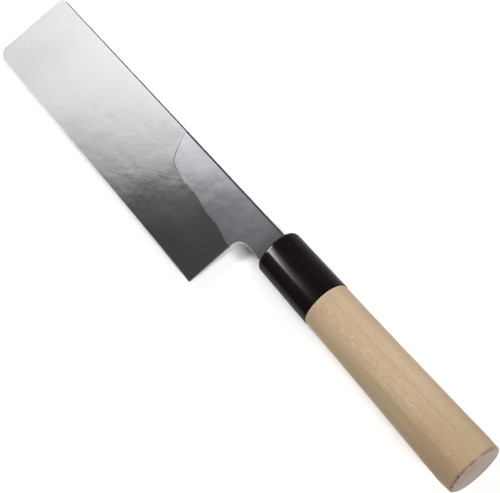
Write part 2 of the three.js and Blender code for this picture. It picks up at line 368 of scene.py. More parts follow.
class Graph:
    """A node tree with short ways to add and join nodes."""

    def __init__(self, tree: bpy.types.NodeTree) -> None:
        """Keep the tree that the nodes go into."""
        self.tree = tree

    def feed(self, node: bpy.types.Node, inputs: Dict[Union[str, int], Value]) -> None:
        """Set or link the inputs of a node.

        Args:
            node: The node.
            inputs: Values or sockets for its inputs, by name or number.
        """
        for key, value in inputs.items():
            if isinstance(value, Socket):
                self.tree.links.new(value, node.inputs[key])
            else:
                node.inputs[key].default_value = value

    def add(self, kind: str, inputs: Dict[Union[str, int], Value], **settings: object) -> bpy.types.Node:
        """Add a node, set it up and feed its inputs.

        Args:
            kind: Type of the node.
            inputs: Values or sockets for its inputs, by name or number.
            **settings: Properties of the node.

        Returns:
            The node.
        """
        node = self.tree.nodes.new(kind)
        for key, setting in settings.items():
            setattr(node, key, setting)
        self.feed(node, inputs)
        return node

    def math(self, operation: str, first: Value, second: Value = 0.0) -> Socket:
        """Result of one sum on two values."""
        return self.add("ShaderNodeMath", {0: first, 1: second}, operation=operation).outputs[0]

    def times(self, first: Value, *others: Value) -> Socket:
        """Product of values.

        Args:
            first: The first value.
            *others: The values that it is multiplied by.

        Returns:
            The product.
        """
        for other in others:
            first = self.math("MULTIPLY", first, other)
        return first

    def vector(self, operation: str, first: Value, second: Value) -> Socket:
        """Result of one sum on two vectors."""
        return self.add("ShaderNodeVectorMath", {0: first, 1: second}, operation=operation).outputs[0]

    def span(self, value: Value, low: float, high: float, to_low: float = 0.0, to_high: float = 1.0) -> Socket:
        """A value carried smoothly from one range to another and held at its ends."""
        inputs = {"Value": value, "From Min": low, "From Max": high, "To Min": to_low, "To Max": to_high}
        return self.add("ShaderNodeMapRange", inputs, interpolation_type="SMOOTHSTEP").outputs[0]

    def near(self, value: Value, *limits: float) -> Socket:
        """A share that follows how far a value is from 0, to either side."""
        return self.span(self.math("ABSOLUTE", value), *limits)

    def blend(self, share: Value, first: Value, second: Value) -> Socket:
        """A colour between two colours."""
        inputs = {0: share, 6: with_alpha(first), 7: with_alpha(second)}
        return self.add("ShaderNodeMix", inputs, data_type="RGBA").outputs[2]

    def coats(self, colour: Value, *coats: Tuple[Value, Value]) -> Value:
        """A ground colour under several coats.

        Args:
            colour: The ground.
            *coats: The share and the colour of each coat, from the lowest to the highest.

        Returns:
            The colour with all its coats.
        """
        for share, coat in coats:
            colour = self.blend(share, colour, coat)
        return colour

    def between(self, share: Value, first: Value, second: Value) -> Socket:
        """A number between two numbers."""
        return self.add("ShaderNodeMix", {0: share, 2: first, 3: second}, data_type="FLOAT").outputs[0]

    def mark(self, name: str) -> Socket:
        """A mask that the mesh carries under a name."""
        return self.add("ShaderNodeAttribute", {}, attribute_name=name).outputs["Fac"]

    def millimetres(self) -> Socket:
        """Object coordinates in millimetres."""
        return self.vector("MULTIPLY", self.add("ShaderNodeTexCoord", {}).outputs["Object"], (1 / MM,) * 3)

    def parts(self, vector: Socket) -> Tuple[Socket, Socket, Socket]:
        """The three numbers of a vector."""
        return tuple(self.add("ShaderNodeSeparateXYZ", {0: vector}).outputs)

    def bump(self, height: Socket, depth: float, **more: Value) -> Socket:
        """Normal of a surface whose height goes over a depth in millimetres."""
        inputs = {"Strength": 1.0, "Distance": depth * MM, "Height": height, **more}
        return self.add("ShaderNodeBump", inputs).outputs[0]


def with_alpha(value: Value) -> Value:
    """A colour with its fourth number, or a socket as it is."""
    return value if isinstance(value, Socket) else (*value, 1.0)


class SharedEffect(Enum):
    """Effects that several finishes use, each one node group."""

    STROKES = "grinding_strokes"
    CLOUD = "soft_cloud"

    def group(self) -> bpy.types.NodeTree:
        """The effect's node group, built the first time it is asked for."""
        found = bpy.data.node_groups.get(self.value)
        return found if found else {SharedEffect.STROKES: strokes_group, SharedEffect.CLOUD: cloud_group}[self]()

    def socket(self, graph: Graph, inputs: Dict[str, Value]) -> Socket:
        """Place the effect in a graph and feed it."""
        return graph.add("ShaderNodeGroup", inputs, node_tree=self.group()).outputs[0]


def new_group(name: str, floats: Dict[str, float], output: str) -> Tuple[Graph, bpy.types.Node, bpy.types.Node]:
    """An empty node group with a Vector input, number inputs and one number output.

    Args:
        name: Name of the group.
        floats: Number inputs with their usual values.
        output: Name of the output.

    Returns:
        The graph, and the nodes of its inputs and outputs.
    """
    tree = bpy.data.node_groups.new(name, "ShaderNodeTree")
    tree.interface.new_socket("Vector", in_out="INPUT", socket_type="NodeSocketVector")
    for key, usual in floats.items():
        tree.interface.new_socket(key, in_out="INPUT", socket_type="NodeSocketFloat").default_value = usual
    tree.interface.new_socket(output, in_out="OUTPUT", socket_type="NodeSocketFloat")
    return Graph(tree), tree.nodes.new("NodeGroupInput"), tree.nodes.new("NodeGroupOutput")


def strokes_group() -> bpy.types.NodeTree:
    """Long thin marks: noise drawn out along one direction, from 0 to 1.

    Returns:
        The node group.
    """
    floats = {"Turn": 0.0, "Along": 10.0, "Across": 0.3, "Wander": 0.0}
    graph, given, result = new_group(SharedEffect.STROKES.value, floats, "Mark")
    turned = graph.add(
        "ShaderNodeVectorRotate",
        {"Vector": given.outputs["Vector"], "Angle": given.outputs["Turn"]},
        rotation_type="Z_AXIS",
    )
    across = given.outputs["Across"]
    lengths = graph.add("ShaderNodeCombineXYZ", {0: given.outputs["Along"], 1: across, 2: across})
    noise = graph.add("ShaderNodeTexNoise", {
        "Vector": graph.vector("DIVIDE", turned.outputs[0], lengths.outputs[0]),
        "Scale": 1.0,
        "Detail": NOISE_DETAIL,
        "Distortion": given.outputs["Wander"],
    })
    graph.feed(result, {0: graph.span(noise.outputs[0], *NOISE_RANGE)})
    return graph.tree


def cloud_group() -> bpy.types.NodeTree:
    """Soft patches of a given size, from 0 to 1.

    Returns:
        The node group.
    """
    graph, given, result = new_group(SharedEffect.CLOUD.value, {"Size": 10.0, "Detail": 2.0}, "Patch")
    noise = graph.add("ShaderNodeTexNoise", {
        "Vector": given.outputs["Vector"],
        "Scale": graph.math("DIVIDE", 1.0, given.outputs["Size"]),
        "Detail": given.outputs["Detail"],
    })
    graph.feed(result, {0: graph.span(noise.outputs[0], *NOISE_RANGE)})
    return graph.tree


@dataclass(frozen=True)
class Strokes:
    """Long thin marks: their length and width in millimetres, how far they wander, and their turn in degrees."""

    along: float
    across: float
    wander: float = 0.0
    turn: float = 0.0

    def socket(self, graph: Graph, place: Socket) -> Socket:
        """Strength of the marks at a place, from 0 to 1."""
        inputs = {"Turn": radians(self.turn), "Along": self.along, "Across": self.across, "Wander": self.wander}
        return SharedEffect.STROKES.socket(graph, {"Vector": place, **inputs})


@dataclass(frozen=True)
class Cloud:
    """Soft patches: their size in millimetres and how much detail they have."""

    size: float
    detail: float = 2.0

    def socket(self, graph: Graph, place: Socket) -> Socket:
        """Strength of the patches at a place, from 0 to 1."""
        return SharedEffect.CLOUD.socket(graph, {"Vector": place, "Size": self.size, "Detail": self.detail})


def sockets(graph: Graph, place: Socket, *effects: Union[Strokes, Cloud]) -> List[Socket]:
    """Strengths of several effects at a place."""
    return [effect.socket(graph, place) for effect in effects]


def new_material(name: str) -> Tuple[bpy.types.Material, Graph, bpy.types.Node]:
    """An empty material.

    Args:
        name: Name of the material.

    Returns:
        The material, its graph and its surface shader.
    """
    material = bpy.data.materials.new(name)
    material.use_nodes = True
    return material, Graph(material.node_tree), material.node_tree.nodes["Principled BSDF"]


# Finishes


@dataclass(frozen=True)
class SteelFinish:
    """Ground steel with slanting strokes.

    Where the mesh is marked, it is dark scale, hazy iron or a coarsely ground end.
    """

    name: str
    light: Colour
    dark: Colour
    smooth: float
    rough: float
    wave_height: float
    stroke_height: float
    stroke_share: float = 0.11
    fine: Strokes = Strokes(18.0, 0.22, 0.3, -24.0)
    broad: Strokes = Strokes(15.0, 3.0, 2.2, -24.0)
    patch: Cloud = Cloud(34.0, 1.0)
    patch_share: float = 0.7
    dents: Cloud = Cloud(13.0)
    scale_colour: Colour = (0.012, 0.0125, 0.014)
    scale_roughness: float = 0.6
    scale_metal: float = 0.1
    haze_roughness: float = 0.42
    ground_colour: Colour = (0.70, 0.69, 0.72)
    ground_roughness: float = 0.6
    ground_metal: float = 0.1

    def material(self) -> bpy.types.Material:
        """Build the material.

        Returns:
            The steel material.
        """
        material, graph, shader = new_material(self.name)
        fine, broad, patch, dents = sockets(
            graph, graph.millimetres(), self.fine, self.broad, self.patch, self.dents
        )
        tone = graph.between(self.patch_share, fine, patch)
        scale, haze, coarse = graph.mark("scale"), graph.mark("haze"), graph.mark("coarse")
        roughness = graph.between(tone, self.rough, self.smooth)
        roughness = graph.between(haze, roughness, self.haze_roughness)
        roughness = graph.between(scale, roughness, self.scale_roughness)
        swell = graph.math("ADD", dents, graph.times(broad, self.stroke_share))
        waves = graph.bump(swell, self.wave_height)
        graph.feed(shader, {
            "Base Color": graph.coats(
                self.dark, (tone, self.light), (scale, self.scale_colour), (coarse, self.ground_colour)
            ),
            "Metallic": graph.between(coarse, graph.between(scale, 1.0, self.scale_metal), self.ground_metal),
            "Roughness": graph.between(coarse, roughness, self.ground_roughness),
            "Normal": graph.bump(fine, self.stroke_height, Normal=waves),
        })
        return material


@dataclass(frozen=True)
class HornFinish:
    """Polished black collar with faint brown streaks and hair scratches."""

    name: str = "black_horn_polished"
    black: Colour = (0.0022, 0.0017, 0.0019)
    brown: Colour = (0.0046, 0.0032, 0.003)
    smooth: float = 0.13
    rough: float = 0.18
    specular: float = 0.16
    streak: Strokes = Strokes(40.0, 3.2, 0.4)
    hair: Strokes = Strokes(9.0, 0.12, turn=82.0)
    worn: Cloud = Cloud(6.0)
    scratch_depth: float = 0.0004

    def material(self) -> bpy.types.Material:
        """Build the material.

        Returns:
            The horn material.
        """
        material, graph, shader = new_material(self.name)
        streak, hair, worn = sockets(graph, graph.millimetres(), self.streak, self.hair, self.worn)
        wear = graph.times(hair, worn)
        graph.feed(shader, {
            "Base Color": graph.blend(streak, self.black, self.brown),
            "Roughness": graph.between(wear, self.smooth, self.rough),
            "Specular IOR Level": self.specular,
            "Normal": graph.bump(wear, self.scratch_depth),
        })
        return material


@dataclass(frozen=True)
class Layer:
    """A growth layer of the wood: the line y = offset + slope (x - start)."""

    offset: float
    slope: float = 0.0
    start: float = -80.0

    def distance(self, graph: Graph, along: Socket, across: Socket) -> Socket:
        """Distance of a place from the layer, towards the edge side."""
        fall = graph.times(graph.math("SUBTRACT", along, self.start), self.slope)
        return graph.math("SUBTRACT", graph.math("SUBTRACT", across, fall), self.offset)


@dataclass(frozen=True)
class WoodFinish:
    """Pale bare wood: growth layers along the handle, a greenish streak, flecks, pores and end grain.

    Places are millimetres from the datum. A fade is read along the handle, an edge across it and a share on an effect.
    """

    name: str = "pale_wood_sanded"
    tan: Colour = (0.441, 0.34, 0.231)
    pink: Colour = (0.441, 0.341, 0.243)
    butt_tan: Colour = (0.343, 0.258, 0.17)
    olive: Colour = (0.333, 0.272, 0.178)
    umber: Colour = (0.257, 0.185, 0.125)
    line: Colour = (0.30, 0.205, 0.11)
    fleck: Colour = (0.68, 0.55, 0.40)
    end_grain: Colour = (0.301, 0.256, 0.224)
    end_shade: Colour = (0.295, 0.278, 0.244)
    end_heart: Colour = (0.262, 0.197, 0.175)
    burn: Colour = (0.06, 0.035, 0.022)
    smooth: float = 0.48
    rough: float = 0.62
    specular: float = 0.3
    relief: float = 0.03
    relief_strength: float = 0.6
    pore_depth: float = -0.7

    fibre: Strokes = Strokes(30.0, 0.32, 0.2)
    bands: Strokes = Strokes(230.0, 2.6, turn=-1.2)
    pores: Strokes = Strokes(3.2, 0.3, 0.3)
    ripple: Strokes = Strokes(1.2, 0.4, turn=28.0)
    veins: Strokes = Strokes(150.0, 0.8, turn=1.5)
    drift: Cloud = Cloud(30.0)
    patches: Cloud = Cloud(4.0, 3.0)
    wander: float = 0.6

    streak: Layer = Layer(3.3, 0.027)
    band: Layer = Layer(0.2)
    grain: Layer = Layer(-6.3, 0.025)
    row: Layer = Layer(-2.4, -0.048)
    figure: Layer = Layer(-0.5)

    pink_edge: Range = (1.5, -0.5)
    butt_fade: Range = (-78.0, -122.0)
    band_edge: Range = (-0.5, 0.5)
    band_fade: Range = (-70.0, -122.0, 0.18, 0.42)
    front_fade: Range = (-44.0, -36.0, 0.0, 0.14)
    heart_edge: Range = (-0.2, 0.4)
    heart_fade: Range = (-40.0, -74.0, 0.5, 1.0)
    umber_fade: Range = (-84.0, -122.0)
    vein_share: Range = (0.4, 0.85, 0.0, 0.5)
    ring_offset: float = 0.9
    ring_edge: Range = (1.1, 0.2)
    ring_fade: Range = (-58.0, -118.0, 0.0, 0.6)
    bands_share: float = 0.27
    fibre_share: float = 0.22
    figure_edge: Range = (3.6, 1.2)
    figure_share: Range = (0.3, 0.75)
    fleck_share: Range = (0.5, 0.9, 0.0, 0.4)
    shadow_share: Range = (0.4, 0.1, 0.0, 0.4)
    pore_share: Range = (0.6, 0.9, 0.0, 0.4)
    row_edge: Range = (0.6, 0.2)
    row_fade: Range = (-92.0, -102.0)
    row_share: Range = (0.45, 0.75, 0.0, 0.6)
    grain_edge: Range = (0.3, 0.1)
    grain_share: Range = (0.2, 0.7, 0.35, 0.75)
    shoulder_fade: Range = (-34.5, -34.1, 0.0, 0.4)
    shade_edge: Range = (7.0, 12.5)
    warm_rise: Range = (-4.0, 4.0)
    warm_edge: Range = (-8.0, 2.0)
    warm_share: Range = (0.2, 0.7, 0.55, 1.0)
    end_pores: float = 0.12
    burn_share: Range = (0.15, 0.6, 0.35, 1.0)

    def side(self, graph: Graph, place: Socket, fibre: Socket, pores: Socket, patches: Socket) -> Value:
        """Colour of the sides: growth layers, heartwood, figure and pores over the pale ground.

        Args:
            graph: Graph of the material.
            place: Millimetres from the datum.
            fibre: Strength of the fibres.
            pores: Strength of the pores.
            patches: Strength of the patches.

        Returns:
            The colour.
        """
        bands, ripple, veins, drift = sockets(graph, place, self.bands, self.ripple, self.veins, self.drift)
        along, across, _ = graph.parts(place)
        streak, band, grain, row, figure = (
            layer.distance(graph, along, across)
            for layer in (self.streak, self.band, self.grain, self.row, self.figure)
        )
        wander = graph.times(graph.math("SUBTRACT", drift, 0.5), self.wander)
        streak, band = graph.math("ADD", streak, wander), graph.math("ADD", band, wander)
        heart = graph.times(graph.span(streak, *self.heart_edge), graph.span(along, *self.heart_fade))
        heartwood = graph.blend(graph.span(along, *self.umber_fade), self.olive, self.umber)
        ring = graph.near(graph.math("SUBTRACT", streak, self.ring_offset), *self.ring_edge)
        figured = graph.times(graph.near(figure, *self.figure_edge), graph.span(patches, *self.figure_share))
        row = graph.times(graph.near(row, *self.row_edge), graph.span(along, *self.row_fade))
        return graph.coats(
            self.tan,
            (graph.span(grain, *self.pink_edge), self.pink),
            (graph.span(along, *self.butt_fade), self.butt_tan),
            (graph.times(graph.span(band, *self.band_edge), graph.span(along, *self.band_fade)), self.line),
            (graph.span(along, *self.front_fade), self.line),
            (heart, heartwood),
            (graph.times(heart, graph.span(veins, *self.vein_share)), self.line),
            (graph.times(ring, graph.span(along, *self.ring_fade)), self.line),
            (graph.times(bands, self.bands_share), self.line),
            (graph.times(fibre, self.fibre_share), self.line),
            (graph.times(figured, graph.span(ripple, *self.fleck_share)), self.fleck),
            (graph.times(figured, graph.span(ripple, *self.shadow_share)), self.line),
            (graph.span(pores, *self.pore_share), self.line),
            (graph.times(row, graph.span(pores, *self.row_share)), self.line),
            (graph.times(graph.near(grain, *self.grain_edge), graph.span(drift, *self.grain_share)), self.line),
            (graph.span(along, *self.shoulder_fade), self.fleck),
        )

    def butt(self, graph: Graph, place: Socket, pores: Socket, patches: Socket) -> Value:
        """Colour of the end grain: shaded to its two sides, with warm heartwood on the upper edge side.

        Args:
            graph: Graph of the material.
            place: Millimetres from the datum.
            pores: Strength of the pores.
            patches: Strength of the patches.

        Returns:
            The colour.
        """
        _, across, up = graph.parts(place)
        warm = graph.times(
            graph.span(up, *self.warm_rise),
            graph.span(across, *self.warm_edge),
            graph.span(patches, *self.warm_share),
        )
        return graph.coats(
            self.end_grain,
            (graph.near(across, *self.shade_edge), self.end_shade),
            (warm, self.end_heart),
            (graph.times(pores, self.end_pores), self.line),
        )

    def material(self, datum: Datum) -> bpy.types.Material:
        """Build the material.

        Args:
            datum: Zero point of the places.

        Returns:
            The wood material.
        """
        material, graph, shader = new_material(self.name)
        zero = tuple(float(value) / MM for value in datum.place)
        place = graph.vector("SUBTRACT", graph.millimetres(), zero)
        fibre, pores, patches = sockets(graph, place, self.fibre, self.pores, self.patches)
        burnt = graph.times(graph.mark("burn"), graph.span(patches, *self.burn_share))
        height = graph.math("ADD", fibre, graph.times(pores, self.pore_depth))
        graph.feed(shader, {
            "Base Color": graph.coats(
                self.side(graph, place, fibre, pores, patches),
                (graph.mark("end"), self.butt(graph, place, pores, patches)),
                (burnt, self.burn),
            ),
            "Roughness": graph.between(fibre, self.smooth, self.rough),
            "Specular IOR Level": self.specular,
            "Normal": graph.bump(height, self.relief, Strength=self.relief_strength),
        })
        return material


@dataclass(frozen=True)
class ResinFinish:
    """Cured resin with soft cloudiness."""

    name: str
    clear: Colour
    cloudy: Colour
    smooth: float
    rough: float
    patch: Cloud = Cloud(1.6, 3.0)
    relief: float = 0.02
    relief_strength: float = 0.5

    def material(self) -> bpy.types.Material:
        """Build the material.

        Returns:
            The resin material.
        """
        material, graph, shader = new_material(self.name)
        patch = self.patch.socket(graph, graph.millimetres())
        graph.feed(shader, {
            "Base Color": graph.blend(patch, self.clear, self.cloudy),
            "Roughness": graph.between(patch, self.smooth, self.rough),
            "Normal": graph.bump(patch, self.relief, Strength=self.relief_strength),
        })
        return material


def coat(piece: bpy.types.Object, material: bpy.types.Material) -> None:
    """Give a piece one material all over."""
    piece.data.materials.clear()
    piece.data.materials.append(material)


def dress(piece: bpy.types.Object, material: bpy.types.Material, slot: str, *nodes: str) -> None:
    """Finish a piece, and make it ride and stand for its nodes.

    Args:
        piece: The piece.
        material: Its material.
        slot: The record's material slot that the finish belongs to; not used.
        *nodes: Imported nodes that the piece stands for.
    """
    coat(piece, material)
    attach(piece, BODY)
    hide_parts(*nodes)
    LOG.info("%s: %d faces, stands for %s", piece.name, len(piece.data.polygons), ", ".join(nodes))


# Blade


@dataclass(frozen=True)
class BladePlan:
    """Outline and thickness of the blade, shared by its two layers."""

    edge_length: float = 165.0
    heel_setback: float = 20.5
    edge_offset: float = 38.5
    spine_offset: float = 6.5
    spine_drop: float = 2.4
    tip_rake: float = 9.2
    tip_spine_radius: float = 3.0
    tip_edge_radius: float = 5.0
    heel_rake: float = 7.2
    neck_offset: float = 8.3
    notch_radius: float = 6.0
    neck_thickness: float = 4.2
    tip_thickness: float = 2.0
    taper_past_tip: float = 4.0
    bevel_width: float = 26.0
    edge_land: float = 0.25
    plate_thickness: float = 1.2
    plate_spine_reach: float = 73.8
    plate_end_fall: float = 0.0887
    plate_end_rise: float = 3.4
    plate_end_round: float = 4.0
    plate_end_sag: float = 1.05
    ripple: float = 0.38
    ripple_shares: Tuple[float, ...] = (1.0, 0.4, 0.25)
    ripple_lengths: Tuple[float, ...] = (18.6, 4.7, 2.9)
    ripple_phases: Tuple[float, ...] = (1.03, 2.0, 0.0)
    ripple_start: Range = (0.0, 0.12)
    ripple_end: Range = (1.0, 0.82)
    bend_reach: float = 66.0
    bend_run: float = 5.0
    arc_points: int = 14

    @property
    def tip_x(self) -> float:
        """Foremost point of the edge."""
        return self.heel_setback + self.edge_length

    @property
    def tip_spine(self) -> np.ndarray:
        """Corner of the tip and the spine, before it is rounded."""
        return np.array([self.tip_x - self.tip_rake, self.spine_drop - self.spine_offset])

    @property
    def tip_edge(self) -> np.ndarray:
        """Corner of the tip and the edge, before it is rounded."""
        return np.array([self.tip_x, self.edge_offset])

    @property
    def heel_edge(self) -> np.ndarray:
        """Corner of the heel and the edge."""
        return np.array([self.heel_setback, self.edge_offset])

    @property
    def back_z(self) -> float:
        """Height of the back over the handle axis."""
        return self.neck_thickness / 2

    @property
    def plate_z(self) -> float:
        """Height of the weld between the two layers."""
        return self.back_z - self.plate_thickness

    @property
    def ridge_y(self) -> float:
        """Place of the ridge line of the front."""
        return self.edge_offset - self.bevel_width

    @property
    def plate_heel(self) -> np.ndarray:
        """Point of the heel line where the plate's end line starts."""
        y = self.neck_offset + self.notch_radius
        return np.array([self.heel_x(y), y])

    @property
    def bend_start(self) -> float:
        """Where the stations get closer for the bend of the plate's end line."""
        return self.bend_reach - self.bend_run

    def heel_x(self, y: Numbers) -> Numbers:
        """Heel line: x falls back by tan(rake) for each millimetre up from the edge."""
        return self.heel_setback - np.tan(radians(self.heel_rake)) * (self.edge_offset - y)

    def tip_line_x(self, y: Numbers) -> Numbers:
        """Tip line: straight between its two corners."""
        return self.tip_x - self.tip_rake * (self.edge_offset - y) / (self.edge_offset - self.tip_spine[1])

    def spine_y(self, x: Numbers) -> Numbers:
        """Spine: level inside the ferrule, then a straight fall towards the edge."""
        return -self.spine_offset + self.spine_drop * np.clip(x, 0, None) / self.tip_spine[0]

    def face_z(self, x: Numbers) -> Numbers:
        """Height of the flat part of the front: the thickness tapers evenly from the neck past the tip."""
        share = np.clip(x, 0, None) / (self.tip_x + self.taper_past_tip)
        return self.back_z - self.neck_thickness - (self.tip_thickness - self.neck_thickness) * share

    def front_z(self, x: np.ndarray, y: np.ndarray) -> np.ndarray:
        """Height of the front: flat to the ridge line, then a straight bevel to the edge.

        Args:
            x: Places along the blade.
            y: Places across it.

        Returns:
            The heights.
        """
        face = self.face_z(x)
        share = np.clip((y - self.ridge_y) / self.bevel_width, 0, None)
        return face + (self.back_z - self.edge_land - face) * share

    def weld_y(self, x: Numbers) -> Numbers:
        """Line where the weld comes out on the bevel."""
        face = self.face_z(x)
        return self.ridge_y + self.bevel_width * (self.plate_z - face) / (self.back_z - self.edge_land - face)

    def weld_meets(self, line: Callable[[Numbers], Numbers]) -> np.ndarray:
        """Point where the weld's line on the bevel meets a line that gives x for y."""
        x = settle(self.heel_setback, lambda guess: line(self.weld_y(guess)))
        return np.array([x, self.weld_y(x)])

    def plate_end_y(self, x: np.ndarray) -> np.ndarray:
        """End line of the plate on the back.

        A long line a with a slight sag and ripples, and a steep line b to the spine, joined by the soft minimum
        (a + b) / 2 - sqrt(((a - b) / 2)^2 + c^2).

        Args:
            x: Places along the blade.

        Returns:
            The line's places across the blade.
        """
        heel_x, heel_y = self.plate_heel
        run = np.clip((x - heel_x) / (self.bend_reach - heel_x), 0, 1)
        calm = smooth_step(run, *self.ripple_start) * smooth_step(run, *self.ripple_end)
        phase = 2 * np.pi * x[..., None] / np.array(self.ripple_lengths) + np.array(self.ripple_phases)
        waves = np.sin(phase) @ np.array(self.ripple_shares)
        long_line = heel_y - self.plate_end_fall * (x - heel_x) - self.plate_end_sag * np.sin(np.pi * run)
        long_line = long_line + self.ripple * waves * calm
        reach = self.plate_spine_reach
        steep_line = self.spine_y(reach) + self.plate_end_rise * (reach - x)
        middle, half = (long_line + steep_line) / 2, (long_line - steep_line) / 2
        soft = self.plate_end_round * smooth_step(x, heel_x, self.bend_reach)
        return middle - np.sqrt(half**2 + soft**2)

    def spine_arc(self) -> np.ndarray:
        """Rounded corner between the spine and the tip."""
        start = np.array([0.0, -self.spine_offset])
        return corner_arc(start, self.tip_spine, self.tip_edge, self.tip_spine_radius, self.arc_points)

    def edge_arc(self) -> np.ndarray:
        """Rounded corner between the edge and the tip."""
        return corner_arc(self.heel_edge, self.tip_edge, self.tip_spine, self.tip_edge_radius, self.arc_points)


@dataclass(frozen=True)
class HardPlate:
    """Hard steel layer: the back of the blade, its edge and the polished strip of the bevel."""

    plan: BladePlan
    long_stations: int = 130
    bend_stations: int = 100
    spine_stations: int = 230
    across_points: int = 60
    land_points: int = 1
    bevel_points: int = 10
    weld_points: int = 8
    end_points: int = 3
    rim_width: float = 0.5
    rim_rise: float = 0.028
    rim_steps: Tuple[float, ...] = (1.4, 1.1, 1.0, 0.96, 0.6, 0.3, 0.12)  # points beside the edge, in rim widths
    rim_clear: float = 1.7  # rim widths beside the edge that are left to those points
    hollow: float = 0.02
    end_ease: float = 0.015
    edge_ease: float = 0.03
    heel_coarse: float = 0.15
    support: float = 0.08
    weld_guess: float = 0.8

    def sides(self) -> Tuple[np.ndarray, np.ndarray]:
        """Upper and lower side of the plate in plan, station by station from the heel to the tip.

        Returns:
            Points of both sides, of shape (stations, 2).
        """
        plan = self.plan
        spine_arc, edge_arc = plan.spine_arc(), plan.edge_arc()
        x = np.concatenate([
            np.linspace(plan.plate_heel[0], plan.bend_start, self.long_stations),
            np.linspace(plan.bend_start, plan.plate_spine_reach, self.bend_stations)[1:],
            np.linspace(plan.plate_spine_reach, spine_arc[0, 0], self.spine_stations)[1:],
        ])
        upper = in_plan(x, np.maximum(plan.plate_end_y(x), plan.spine_y(x)))
        share = (x - x[0]) / (x[-1] - x[0])
        lower = in_plan(plan.heel_setback + (edge_arc[0, 0] - plan.heel_setback) * share, plan.edge_offset)
        return np.concatenate([upper, spine_arc[1:]]), np.concatenate([lower, edge_arc[1:]])

    def weld_line(self, upper: np.ndarray, lower: np.ndarray) -> np.ndarray:
        """Points where the stations cross the line of the weld on the bevel.

        Args:
            upper: Plan points of the upper side.
            lower: Plan points of the lower side.

        Returns:
            Plan points of the same shape.
        """
        run = lower - upper

        def crossing(share: np.ndarray) -> np.ndarray:
            """Share of a station at the height of the weld's line beside its last place."""
            return (self.plan.weld_y(upper[:, 0] + run[:, 0] * share) - upper[:, 1]) / run[:, 1]

        return upper + run * settle(np.full(len(upper), self.weld_guess), crossing)[:, None]

    def skin(self) -> Skin:
        """Sections from the upper side to the edge and back under the plate.

        The back is z = back - rise - 4 h s (1 - s) across the blade, and it climbs by the rise over the last rim width
        to the edge. Under it lie the bevel, which meets the weld at the weld line, and the welded face.

        Returns:
            The plate's skin.
        """
        plan = self.plan
        upper, lower = self.sides()
        span = np.linalg.norm(lower - upper, axis=1)[:, None]
        wide = np.linspace(0, 1, self.across_points)[None, 1:-1] * (1 - self.rim_clear * self.rim_width / span)
        rim = 1 - np.array(self.rim_steps)[None, :] * self.rim_width / span
        top = plan.back_z - self.rim_rise
        rings, owner, places = eased_sections([
            Side("back", raised(upper, top), self.end_ease, np.concatenate([self.support / span, wide, rim], axis=1)),
            Side("land", raised(lower, plan.back_z), self.edge_ease, inner(self.land_points)),
            Side("bevel", raised(lower, plan.front_z(*lower.T)), self.edge_ease, inner(self.bevel_points)),
            Side("weld", raised(self.weld_line(upper, lower), plan.plate_z), 0.0, inner(self.weld_points)),
            Side("end", raised(upper, plan.plate_z), 0.0, inner(self.end_points)),
        ])
        climb = self.rim_rise * (1 - np.clip((1 - places) * span / self.rim_width, 0, 1))
        dish = 4 * self.hollow * places * (1 - places)
        on_back = (owner == "back") & (places > 0)
        rings[..., 2] = np.where(on_back, top + climb - dish, rings[..., 2])
        end_face = owner == "end"
        end_face[: EASE_POINTS // 2 + 1] = True  # its half of the eased corner to the back
        scale = (upper[:, :1] >= plan.plate_spine_reach) * end_face
        coarse = np.zeros(rings.shape[:2])
        coarse[0] = self.heel_coarse
        return Skin(rings, {"scale": scale, "haze": np.zeros_like(coarse), "coarse": coarse})


@dataclass(frozen=True)
class Stations:
    """Stations of the iron body, from the tang's end to the tip.

    Attributes:
        spine: Plan points on the spine, of shape (stations, 2).
        strip: Plan points on the lower side of the strip beside the plate.
        outer: Plan points on the outer side.
        tang: Mask of the stations on the tang.
        neck: Mask of those on the neck and its notch.
        heel: Mask of those along the heel.
    """

    spine: np.ndarray
    strip: np.ndarray
    outer: np.ndarray
    tang: np.ndarray
    neck: np.ndarray
    heel: np.ndarray


